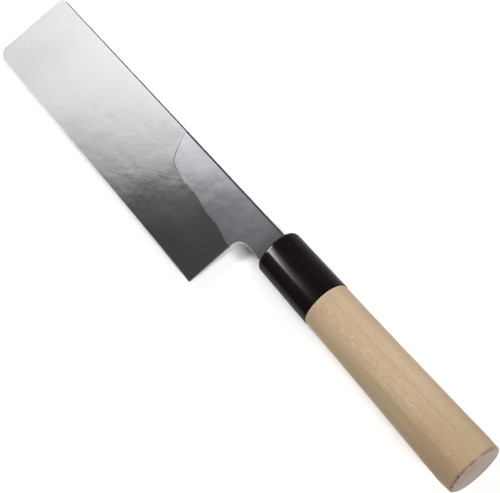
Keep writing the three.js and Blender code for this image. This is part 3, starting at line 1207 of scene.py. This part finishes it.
@dataclass(frozen=True)
class IronBody:
    """Soft iron layer: spine, neck, front face and tang, rebated for the hard plate."""

    plan: BladePlan
    tang_length: float = 92.0
    tang_width: float = 11.0
    tang_end_width: float = 6.0
    tang_thickness: float = 3.8
    tang_end_thickness: float = 2.6
    neck_back: float = -5.0
    tang_stations: int = 8
    neck_stations: int = 24
    heel_stations: int = 4
    fan_stations: int = 24
    strip_stations: int = 90
    bend_stations: int = 80
    spine_stations: int = 90
    strip_points: int = 16
    wall_points: int = 2
    rebate_points: int = 6
    front_points: int = 12
    spine_points: int = 4
    weld_gap: float = 0.01
    seam: float = 0.01
    groove: float = 0.18
    groove_start: Range = (58.0, 66.0)
    groove_end: Range = (73.0, 70.0)
    fan_reach: float = 8.0
    tip_margin: float = 1.0
    bare_width: float = 0.1
    strip_tilt: float = 0.5
    strip_step: float = 0.03
    spine_ease: float = 0.2
    seam_ease: float = 0.015
    neck_ease: float = 0.36
    bevel_ease: float = 0.04
    ridge_ease: float = 0.05
    neck_coarse: float = 0.6
    coarse_start: Range = (0.0, 9.0)
    neck_haze: float = 0.14
    haze_start: Range = (-1.0, 11.0)
    haze_end: Range = (42.0, 14.0)
    support: float = 0.08
    support_share: float = 0.05

    def tang_half(self, x: np.ndarray, end: float, root: float) -> np.ndarray:
        """Half of a size of the tang, which grows evenly from its end to the neck."""
        return np.interp(x, [-self.tang_length, self.neck_back], [end / 2, root / 2])

    def bare_outline(self) -> np.ndarray:
        """Lower side of the neck, round the notch and down the heel to the plate.

        Returns:
            Plan points of shape (points, 2).
        """
        plan = self.plan
        start = np.array([self.neck_back, plan.neck_offset])
        corner = np.array([plan.heel_x(plan.neck_offset), plan.neck_offset])
        notch = corner_arc(start, corner, plan.heel_edge, plan.notch_radius, 2 * plan.arc_points)
        neck_x = np.linspace(self.neck_back, notch[0, 0], self.neck_stations)
        heel_y = np.linspace(notch[-1, 1], plan.plate_heel[1], self.heel_stations)[1:]
        return np.concatenate([in_plan(neck_x, plan.neck_offset), notch[1:], in_plan(plan.heel_x(heel_y), heel_y)])

    def stations(self) -> Stations:
        """Plan points of each station: tang, neck, a fan along the heel, strip, bend, spine and the tip's corner.

        Returns:
            The stations.
        """
        plan = self.plan
        bare, spine_arc = self.bare_outline(), plan.spine_arc()
        weld_heel, weld_tip = plan.weld_meets(plan.heel_x), plan.weld_meets(plan.tip_line_x)
        fan_end, reach = plan.plate_heel[0] + self.fan_reach, plan.plate_spine_reach
        tang_x = np.linspace(-self.tang_length, self.neck_back, self.tang_stations)
        tang_half = self.tang_half(tang_x, self.tang_end_width, self.tang_width)
        tang_side = in_plan(tang_x, tang_half)
        strip_x = np.concatenate([
            np.linspace(fan_end, plan.bend_start, self.strip_stations)[1:],
            np.linspace(plan.bend_start, reach, self.bend_stations)[1:],
        ])
        spine_x = np.linspace(reach, spine_arc[0, 0], self.spine_stations)[1:]
        fan = np.linspace(0, 1, self.fan_stations)[1:]
        end_x = np.concatenate([plan.plate_heel[0] + self.fan_reach * fan, strip_x])
        gap = self.seam + self.groove * smooth_step(end_x, *self.groove_start) * smooth_step(end_x, *self.groove_end)
        end_y = np.maximum(plan.plate_end_y(end_x) - gap, plan.spine_y(end_x))
        arc_start = weld_tip[0] - self.tip_margin
        outer_x = np.concatenate([
            np.interp(np.concatenate([strip_x, spine_x]), [fan_end, spine_arc[0, 0]], [weld_heel[0], arc_start]),
            np.linspace(arc_start, weld_tip[0], plan.arc_points)[1:],
        ])
        fan_outer = plan.plate_heel + (weld_heel - plan.plate_heel) * fan[:, None]
        upper_x = np.concatenate([bare[:, 0], end_x])
        ahead = np.concatenate([in_plan(spine_x, plan.spine_y(spine_x)), spine_arc[1:]])
        spine = np.concatenate([in_plan(tang_x, -tang_half), in_plan(upper_x, plan.spine_y(upper_x)), ahead])
        number = np.arange(len(spine)) - len(tang_x)
        past_neck = number - len(bare)
        return Stations(
            spine=spine,
            strip=np.concatenate([tang_side, bare, in_plan(end_x - gap, end_y), ahead]),
            outer=np.concatenate([tang_side, bare, fan_outer, in_plan(outer_x, plan.weld_y(outer_x))]),
            tang=number < 0,
            neck=(number >= 0) & (past_neck < 0),
            heel=(past_neck >= 0) & (past_neck < len(fan)),
        )

    def skin(self) -> Skin:
        """Sections round the iron: strip, rebate, bevel, front face and spine.

        The strip and the neck are one plane that falls to the spine by tan(tilt) for each millimetre from the straight
        line of the plate's end. The ridge point of a station is where its line from the outer side to the spine crosses
        the ridge line.

        Returns:
            The body's skin.
        """
        plan, at = self.plan, self.stations()
        spine, strip, outer = at.spine, at.strip, at.outer
        half = self.tang_half(spine[:, 0], self.tang_end_thickness, self.tang_thickness)
        width = np.linalg.norm(strip - spine, axis=1)
        floor = plan.plate_z - self.weld_gap
        middle = np.where(at.tang, 0, floor)
        past = outer[:, 1] > plan.ridge_y
        share = np.where(past, (plan.ridge_y - spine[:, 1]) / np.where(past, outer[:, 1] - spine[:, 1], 1), 1)
        ridge = spine + (outer - spine) * share[:, None]

        def front(points: np.ndarray) -> np.ndarray:
            """Height of the underside at plan points."""
            return np.where(at.tang, -half, plan.front_z(*points.T))

        def back(points: np.ndarray) -> np.ndarray:
            """Height of the upper side at plan points.

            Args:
                points: One point for each station.

            Returns:
                The heights.
            """
            fall = plan.plate_heel[1] - plan.plate_end_fall * (points[:, 0] - plan.plate_heel[0]) - points[:, 1]
            plane = plan.back_z - self.strip_step - np.tan(radians(self.strip_tilt)) * np.clip(fall, 0, None)
            return np.where(at.tang, half, np.where(width > self.bare_width, plane, floor))

        near = np.minimum(self.support / np.maximum(width, TINY), self.support_share)[:, None]
        wide = np.broadcast_to(inner(self.strip_points), (len(width), self.strip_points))
        seam_ease = np.where(strip[:, 0] < plan.plate_heel[0], self.neck_ease, self.seam_ease)
        bevel_z = np.minimum(front(outer), middle)
        rings, owner, places = eased_sections([
            Side("strip", raised(spine, back(spine)), self.spine_ease, np.concatenate([near, wide, 1 - near], axis=1)),
            Side("wall", raised(strip, back(strip)), seam_ease, inner(self.wall_points)),
            Side("rebate", raised(strip, middle), 0.0, inner(self.rebate_points)),
            Side("outer", raised(outer, middle), 0.0, inner(self.wall_points)),
            Side("bevel", raised(outer, bevel_z), self.bevel_ease, inner(self.front_points)),
            Side("front", raised(ridge, front(ridge)), self.ridge_ease, inner(self.front_points)),
            Side("spine", raised(spine, front(spine)), self.spine_ease, inner(self.spine_points)),
        ])
        x = rings[..., 0]
        scale = np.broadcast_to(owner == "spine", x.shape).astype(float)
        scale[:, :EASE_POINTS] = 1  # the eased corner from the spine to the strip
        haze = self.neck_haze * smooth_step(x, *self.haze_end) * smooth_step(x, *self.haze_start)
        haze = np.where((owner == "bevel") & past[:, None], 1.0, haze)
        neck_end = at.neck[:, None] * np.isin(owner, ("wall", "rebate", "outer")) * smooth_step(x, *self.coarse_start)
        coarse = neck_end * np.where(places > 0, 1.0, self.neck_coarse) + at.heel[:, None] * (owner == "outer")
        return Skin(rings, {"scale": scale, "haze": haze, "coarse": coarse})


@dataclass
class Blade:
    """The laminated blade: a soft iron body and a hard plate."""

    plan: BladePlan = field(default_factory=BladePlan)
    plate_finish: SteelFinish = SteelFinish(
        name="hard_steel_polished",
        light=(0.80, 0.80, 0.805),
        dark=(0.74, 0.735, 0.74),
        smooth=0.065,
        rough=0.11,
        wave_height=0.012,
        stroke_height=0.00002,
    )
    iron_finish: SteelFinish = SteelFinish(
        name="soft_iron_satin",
        light=(0.81, 0.805, 0.855),
        dark=(0.73, 0.725, 0.775),
        smooth=0.10,
        rough=0.13,
        wave_height=0.012,
        stroke_height=0.00005,
        stroke_share=0.06,
    )

    def build(self, datum: Datum) -> Tuple[bpy.types.Object, bpy.types.Object]:
        """Make and dress both layers.

        Args:
            datum: Zero point of the blade.

        Returns:
            The plate and the body.
        """
        plate = HardPlate(self.plan).skin().make("hard_plate", datum)
        dress(plate, self.plate_finish.material(), "hard_steel", "cutting_steel")
        body = IronBody(self.plan).skin().make("iron_body", datum)
        dress(body, self.iron_finish.material(), "soft_iron", "blade_body")
        return plate, body


# Handle


@dataclass(frozen=True)
class Ferrule:
    """Black collar with a rounded front rim, a slot for the neck and a cup for the tenon."""

    length: float = 33.7
    front_half: float = 10.95
    front_top: float = 9.8
    front_bottom: float = 10.1
    rear_half: float = 11.4
    rear_top: float = 10.35
    rear_bottom: float = 10.55
    power: float = 2.13
    rim_round: float = 1.6
    rear_ease: float = 0.2
    wall: float = 2.6
    front_wall: float = 5.0
    slot_half: float = 8.6
    slot_deep: float = 3.3
    slot_middle: float = 0.9
    slot_power: float = 8.0
    slot_ease: float = 0.3
    round_rings: int = 12
    side_rings: int = 40
    cup_rings: int = 8
    side_margins: Tuple[float, float] = (0.6, 0.2)  # to the rear end and to the rim's rounding
    face_insets: Tuple[float, float] = (0.05, 0.4)
    slot_places: Tuple[float, float] = (-1.0, -3.0)
    finish: HornFinish = HornFinish()

    def outside(self, x: Numbers, inset: Numbers) -> Ovals:
        """Rings of the tapering outside; the top is domed along 1 - (1 - s)^2.

        Args:
            x: Places of the rings.
            inset: How much smaller they are all round.

        Returns:
            The rings.
        """
        share = -np.atleast_1d(x) / self.length
        dome = 1 - (1 - share) ** 2
        return Ovals.of(
            x,
            self.front_half + (self.rear_half - self.front_half) * share - inset,
            self.front_top + (self.rear_top - self.front_top) * dome - inset,
            self.front_bottom + (self.rear_bottom - self.front_bottom) * share - inset,
            self.power,
        )

    def slot(self, x: np.ndarray, grow: Numbers) -> Ovals:
        """Rings of the slot, made larger all round."""
        deep = self.slot_deep + grow
        return Ovals.of(x, self.slot_half + grow, deep, deep, self.slot_power, self.slot_middle)

    def skin(self) -> Skin:
        """Rings along the outside, round the rim, into the slot and back through the cup.

        Both roundings are quarter circles: the ring moves by sin(a) along X and shrinks by 1 - cos(a).

        Returns:
            The ferrule's skin.
        """
        turn = np.linspace(0, np.pi / 2, self.round_rings)
        rear_margin, rim_margin = self.side_margins
        side_x = np.linspace(-self.length + rear_margin, -self.rim_round - rim_margin, self.side_rings)
        return Skin(Ovals.chain(
            self.outside(-self.length + self.rear_ease * (1 - np.cos(turn)), self.rear_ease * (1 - np.sin(turn))),
            self.outside(side_x, 0.0),
            self.outside(self.rim_round * (np.sin(turn) - 1), self.rim_round * (1 - np.cos(turn))),
            self.outside(np.zeros(len(self.face_insets)), self.rim_round + np.array(self.face_insets)),
            self.slot(self.slot_ease * (np.cos(turn) - 1), self.slot_ease * (1 - np.sin(turn))),
            self.slot(np.array([*self.slot_places, -self.front_wall]), 0.0),
            self.outside(np.linspace(-self.front_wall, -self.length, self.cup_rings), self.wall),
        ).rings(), path_closed=True)

    def build(self, datum: Datum) -> bpy.types.Object:
        """Make and dress the ferrule.

        Args:
            datum: Zero point of the ferrule.

        Returns:
            The collar.
        """
        collar = self.skin().make("collar", datum)
        dress(collar, self.finish.material(), "black_horn", "ferrule")
        return collar


@dataclass(frozen=True)
class MouthBead:
    """Resin bead that closes the slot round the neck."""

    neck_half: float = 7.4
    neck_deep: float = 2.1
    middle: float = 0.9
    room: float = 1.2
    gap: float = 0.02
    power: float = 9.0
    front: float = -0.4
    sink: float = 0.45
    back: float = -4.9
    front_rings: int = 14
    finish: ResinFinish = ResinFinish("seal_resin_dark", (0.018, 0.013, 0.010), (0.035, 0.024, 0.016), 0.3, 0.45)

    def skin(self) -> Skin:
        """Rings round the neck, each grown by an offset: a hollow front, the outer side, the back and the inner side.

        The front is x = front - sink (1 - (2 s - 1)^2) for s from the neck to the slot.

        Returns:
            The bead's skin.
        """
        share = np.linspace(0, 1, self.front_rings)
        offset = self.gap + (self.room - 2 * self.gap) * share
        grow = np.concatenate([offset, offset[[-1, 0]]])
        x = np.concatenate([self.front - self.sink * (1 - (2 * share - 1) ** 2), [self.back, self.back]])
        deep = self.neck_deep + grow
        return Skin(Ovals.of(x, self.neck_half + grow, deep, deep, self.power, self.middle).rings(), path_closed=True)

    def build(self, datum: Datum) -> bpy.types.Object:
        """Make and dress the bead.

        Args:
            datum: Zero point of the bead.

        Returns:
            The bead.
        """
        bead = self.skin().make("mouth_bead", datum)
        dress(bead, self.finish.material(), "seal_resin", "mouth_seal")
        return bead


@dataclass(frozen=True)
class Grip:
    """Wooden handle of oval section that widens to the butt, with its tenon and the bore for the tang."""

    start: float = -33.7
    end: float = -126.5
    front_half: float = 11.15
    front_top: float = 10.1
    front_bottom: float = 10.3
    butt_half: float = 13.087
    butt_top: float = 10.0
    butt_bottom: float = 11.194
    flare: float = 1.3
    power: float = 2.13
    chamfer: float = 0.45
    crown: float = 0.06
    draw_reach: float = 7.5
    draw_power: float = 1.4
    draw_half: float = 0.55
    draw_side: float = 0.3
    front_ease: float = 0.3
    tenon_front: float = -5.3
    tenon_half: float = 8.0
    tenon_rise: float = 7.3
    bore_front_half: float = 6.7
    bore_front_deep: float = 3.1
    bore_end_half: float = 4.2
    bore_end_deep: float = 2.5
    bore_end: float = -95.0
    bore_power: float = 12.0
    butt_rings: int = 16
    butt_share: float = 0.9  # share of the butt face inside the rings near its rim
    rim_rings: int = 6
    rim_shares: Tuple[float, float] = (0.92, 0.99)
    chamfer_rings: int = 7
    side_rings: int = 110
    side_margins: Tuple[float, float] = (0.4, 1.0)  # to the chamfer and to the ferrule
    nose_rings: int = 6
    bore_rings: int = 10
    burn_rings: int = 4
    burn_rise: Range = (-2.0, 5.0)
    burn_edge: Range = (-6.0, 9.0)
    burn_least: float = 0.55
    burn_fade: float = 0.4
    finish: WoodFinish = WoodFinish()

    def outside(self, x: Numbers, inset: Numbers) -> Ovals:
        """Rings of the outside: each half size grows with the share of the length to the power of the flare.

        Over the last reach to the butt, the sides are drawn in along a power of the share of that reach, and more on
        the edge side.

        Args:
            x: Places of the rings.
            inset: How much smaller they are all round.

        Returns:
            The rings.
        """
        share = np.clip((self.start - np.atleast_1d(x)) / (self.start - self.end), 0, 1) ** self.flare
        drawn = np.clip((self.end + self.draw_reach - np.atleast_1d(x)) / self.draw_reach, 0, 1) ** self.draw_power
        return Ovals.of(
            x,
            self.front_half + (self.butt_half - self.front_half) * share - self.draw_half * drawn - inset,
            self.front_top + (self.butt_top - self.front_top) * share - inset,
            self.front_bottom + (self.butt_bottom - self.front_bottom) * share - inset,
            self.power,
            -self.draw_side * drawn,
        )

    def butt(self) -> Ovals:
        """Rings of the butt face: its rim shrunk by k to a point, with a crown of crown (1 - k^2).

        Returns:
            The rings.
        """
        rim = self.outside(self.end, self.chamfer)
        shrink = np.concatenate([
            np.linspace(0, self.butt_share, self.butt_rings), np.linspace(*self.rim_shares, self.rim_rings)
        ])
        x = self.end + self.crown * shrink**2
        return Ovals.of(x, rim.half * shrink, rim.top * shrink, rim.bottom * shrink, self.power, rim.middle)

    def skin(self) -> Skin:
        """Rings from the middle of the butt over its chamfer and the outside to the tenon, then down the bore.

        Returns:
            The grip's skin.
        """
        step = np.linspace(0, 1, self.chamfer_rings)
        butt_margin, front_margin = self.side_margins
        side_x = np.linspace(self.end + self.chamfer + butt_margin, self.start - front_margin, self.side_rings)
        turn = np.linspace(0, np.pi / 2, self.nose_rings)
        share = np.linspace(0, 1, self.bore_rings)
        bore_x = self.tenon_front + (self.bore_end - self.tenon_front) * share
        bore_half = self.bore_front_half + (self.bore_end_half - self.bore_front_half) * share
        bore_deep = self.bore_front_deep + (self.bore_end_deep - self.bore_front_deep) * share
        rings = Ovals.chain(
            self.butt(),
            self.outside(self.end + self.crown + (self.chamfer - self.crown) * step, self.chamfer * (1 - step)),
            self.outside(side_x, 0.0),
            self.outside(self.start - self.front_ease * (1 - np.sin(turn)), self.front_ease * (1 - np.cos(turn))),
            Ovals.of((self.start, self.tenon_front), self.tenon_half, self.tenon_rise, self.tenon_rise, self.power),
            Ovals.of(bore_x, bore_half, bore_deep, bore_deep, self.bore_power),
            Ovals.of(self.bore_end, TINY, TINY, TINY, self.bore_power),
        ).rings()
        return Skin(rings, self.marks(rings))

    def marks(self, rings: np.ndarray) -> Dict[str, np.ndarray]:
        """Masks of the end grain and of the dark line round it.

        Args:
            rings: Points of all rings, the butt face and its chamfer first.

        Returns:
            The masks by name.
        """
        rim = self.butt_rings + self.rim_rings
        side = rim + self.chamfer_rings
        end, burn = np.zeros(rings.shape[:2]), np.zeros(rings.shape[:2])
        end[: rim + 1] = 1
        edge_side = self.burn_least + (1 - self.burn_least) * smooth_step(rings[..., 1], *self.burn_edge)
        scorched = smooth_step(rings[..., 2], *self.burn_rise) * edge_side
        burn[rim - self.burn_rings : side] = scorched[rim - self.burn_rings : side]
        burn[side] = self.burn_fade * scorched[side]
        return {"end": end, "burn": burn}

    def build(self, datum: Datum) -> bpy.types.Object:
        """Make and dress the grip.

        Args:
            datum: Zero point of the grip.

        Returns:
            The grip.
        """
        grip = self.skin().make("grip", datum)
        dress(grip, self.finish.material(datum), "pale_wood", "handle")
        return grip


@dataclass(frozen=True)
class Bedding:
    """Hidden resin round the tang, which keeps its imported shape."""

    node: str = "tang_bedding"
    finish: ResinFinish = ResinFinish("bedding_resin_amber", (0.16, 0.075, 0.02), (0.11, 0.05, 0.015), 0.35, 0.5)

    def build(self) -> None:
        """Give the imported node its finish."""
        coat(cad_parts[self.node], self.finish.material())
        LOG.info("%s: packed shape with a resin finish", self.node)


# Studio


@dataclass(frozen=True)
class Panel:
    """A soft lamp panel far away, as limits of the direction towards it.

    The border is a slanting line: along x - slant y the level rises over two ranges, the first with its share of the
    level. Across it, the level comes up on the spine side and goes down on the edge side.
    """

    level: float
    slant: float
    first: Range
    second: Range
    first_share: float
    spine_side: Range
    edge_side: Range

    def socket(self, graph: Graph, x: Socket, y: Socket) -> Socket:
        """The panel's brightness in a direction.

        Args:
            graph: Graph of the world.
            x: Direction along the knife.
            y: Direction across it.

        Returns:
            The brightness.
        """
        slanting = graph.math("SUBTRACT", x, graph.times(y, self.slant))
        first, second = graph.span(slanting, *self.first), graph.span(slanting, *self.second)
        border = graph.times(graph.between(self.first_share, second, first), self.level)
        return graph.times(border, graph.span(y, *self.spine_side), graph.span(y, *self.edge_side))


def turn(thing: bpy.types.Object, rotation: Quaternion) -> None:
    """Turn a lamp or the camera."""
    thing.rotation_mode = "QUATERNION"
    thing.rotation_quaternion = rotation


@dataclass(frozen=True)
class Sun:
    """A soft lamp far away; glossy surfaces don't mirror it."""

    name: str
    towards: Point
    strength: float
    angle: float = 15.0
    shadow: bool = True

    def build(self) -> bpy.types.Object:
        """Make the lamp.

        Returns:
            The lamp.
        """
        light = bpy.data.lights.new(self.name, "SUN")
        light.energy = self.strength
        light.angle = radians(self.angle)
        light.use_shadow = self.shadow
        lamp = put(self.name, light)
        turn(lamp, Vector(self.towards).to_track_quat("Z", "Y"))
        lamp.visible_glossy = False
        return lamp


def light_only(lamp: bpy.types.Object, piece: bpy.types.Object) -> None:
    """Let a lamp light one piece alone.

    Args:
        lamp: The lamp.
        piece: The piece.
    """
    lit = bpy.data.collections.new(f"{lamp.name}_lit")
    lit.objects.link(piece)
    lamp.light_linking.receiver_collection = lit


@dataclass(frozen=True)
class Studio:
    """Pale floor that the knife lies on, soft light and the camera of the photograph."""

    fall_along: float = 2.774
    fall_across: float = 4.308
    floor_gap: float = 0.00003
    floor_size: float = 6.0
    floor_colour: Colour = (0.95, 0.95, 0.95)
    floor_bounce: Colour = (0.4, 0.4, 0.4)
    floor_lift: float = 0.03
    white: Colour = (1.0, 1.0, 1.0)
    panel: Panel = Panel(
        level=2.52,
        slant=0.82,
        first=(0.3366, 0.37),
        second=(0.371, 0.425),
        first_share=0.628,
        spine_side=(0.02, 0.13),
        edge_side=(-0.4, 0.615, 1.0, 0.0),
    )
    overhead: float = 0.06
    warm: Colour = (1.02, 0.92, 0.95)
    warm_until: Range = (0.06, 0.2)
    horizon: Range = (-0.5, 0.6, 0.16, 0.04)
    horizon_height: Range = (0.7, 0.45)
    suns: Tuple[Sun, ...] = (
        Sun("butt_sun", (-1.42, -0.295, 1.0), 2.22),
        Sun("spine_sun", (-0.634, -0.96, 1.0), 1.96),
        Sun("tip_sun", (0.413, -0.186, 1.0), 1.61),
    )
    glows: Tuple[Sun, ...] = (
        Sun("edge_glow", (0.0, 0.927, -0.375), 4.2, 60.0, False),
        Sun("spine_glow", (0.0, -0.766, -0.643), 1.77, 60.0, False),
    )
    room: float = 0.45
    room_border: Range = (0.30, 0.05)
    far_border: Range = (0.58, 0.74)
    far_height: Range = (0.6, 0.4)
    strip_from: Point = (0.672, 0.19, 0.713)
    strip_distance: float = 1.0
    strip_size: Tuple[float, float] = (0.33, 0.44)
    strip_power: float = 17.5
    camera_place: Point = (-0.292145, -0.129299, 0.529333)
    camera_aim: Point = (-0.018791, -0.005324, 0.013289)
    camera_roll: float = 69.05
    camera_lens: float = 100.38
    camera_clip: Tuple[float, float] = (0.01, 20.0)

    def build(self, pieces: Sequence[bpy.types.Object], collar: bpy.types.Object, grip: bpy.types.Object) -> None:
        """Make the floor, the light and the camera.

        Args:
            pieces: The pieces that lie on the floor.
            collar: The glossy collar, which has a strip lamp of its own.
            grip: The wooden grip, which takes the glow that a pale floor throws up at it.
        """
        self.floor(pieces)
        self.world()
        for sun in self.suns:
            sun.build()
        for glow in self.glows:
            light_only(glow.build(), grip)
        self.strip_lamp(collar)
        self.camera()

    def floor(self, pieces: Sequence[bpy.types.Object]) -> None:
        """A plane under the knife that touches what reaches lowest along its own upright.

        Args:
            pieces: The pieces that lie on it.
        """
        up = unit(np.array([-np.tan(radians(self.fall_along)), -np.tan(radians(self.fall_across)), 1.0]))
        height = (np.concatenate([vertices(piece) for piece in pieces]) @ up).min() - self.floor_gap
        side = unit(np.cross([0.0, 1.0, 0.0], up))
        corners = np.array([[-1, -1], [1, -1], [1, 1], [-1, 1]]) * self.floor_size / 2
        points = corners @ np.stack([side, np.cross(up, side)]) + up * height
        mesh = bpy.data.meshes.new("floor")
        mesh.from_pydata(points.tolist(), [], [range(len(points))])
        material, graph, shader = new_material("pale_floor")
        seen = graph.add("ShaderNodeLightPath", {}).outputs["Is Camera Ray"]
        graph.feed(shader, {
            "Base Color": graph.blend(seen, self.floor_bounce, self.floor_colour),
            "Roughness": 1.0,
            "Specular IOR Level": 0.0,
            "Emission Color": with_alpha(self.white),
            "Emission Strength": graph.times(seen, self.floor_lift),
        })
        mesh.materials.append(material)
        floor = put("floor", mesh)

    def world(self) -> None:
        """Dark overhead, a soft panel beyond the tip and a grey horizon; plain white to the camera.

        Glossy surfaces also mirror a light room behind the butt, and low down beyond the tip.
        """
        world = bpy.data.worlds.new("studio")
        bpy.context.scene.world = world
        world.use_nodes = True
        graph = Graph(world.node_tree)
        x, y, z = graph.parts(graph.add("ShaderNodeTexCoord", {}).outputs["Generated"])
        ray = graph.add("ShaderNodeLightPath", {}).outputs
        above = graph.math("ADD", self.panel.socket(graph, x, y), self.overhead)
        level = graph.between(graph.span(z, *self.horizon_height), above, graph.span(y, *self.horizon))
        far = graph.times(graph.span(x, *self.far_border), graph.span(z, *self.far_height))
        room = graph.math("ADD", graph.span(x, *self.room_border), far)
        room = graph.times(room, self.room, ray["Is Glossy Ray"])
        level = graph.between(ray["Is Camera Ray"], graph.math("ADD", level, room), 1.0)
        colour = graph.blend(graph.span(level, *self.warm_until), self.warm, self.white)
        graph.feed(world.node_tree.nodes["Background"], {"Strength": level, "Color": colour})

    def strip_lamp(self, collar: bpy.types.Object) -> None:
        """A long soft lamp that only draws the highlight along the collar.

        Args:
            collar: The collar.
        """
        light = bpy.data.lights.new("strip", "AREA")
        light.shape = "RECTANGLE"
        light.size, light.size_y = self.strip_size
        light.energy = self.strip_power
        lamp = put("strip", light)
        low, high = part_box("ferrule")
        towards = Vector(self.strip_from).normalized()
        lamp.location = (low + high) / 2 + towards * self.strip_distance
        turn(lamp, towards.to_track_quat("Z", "Y"))
        light_only(lamp, collar)

    def camera(self) -> None:
        """The camera of the photograph: it looks at the aim and is rolled about its own axis."""
        data = bpy.data.cameras.new("camera")
        data.lens = self.camera_lens
        data.clip_start, data.clip_end = self.camera_clip
        camera = put("camera", data)
        camera.location = place = Vector(self.camera_place)
        level = (Vector(self.camera_aim) - place).to_track_quat("-Z", "Y")
        turn(camera, level @ Quaternion((0.0, 0.0, 1.0), -radians(self.camera_roll)))
        bpy.context.scene.camera = camera


def main() -> None:
    """Build the knife piece by piece, then the studio round it."""
    logging.basicConfig(level=logging.INFO)
    bpy.context.scene.view_settings.view_transform = "Standard"
    blade = Blade()
    datum = Datum.from_frame(blade.plan.back_z)
    plate, body = blade.build(datum)
    collar = Ferrule().build(datum)
    bead = MouthBead().build(datum)
    grip = Grip().build(datum)
    Bedding().build()
    Studio().build((plate, body, collar, bead, grip), collar, grip)


if __name__ == "__main__":
    main()
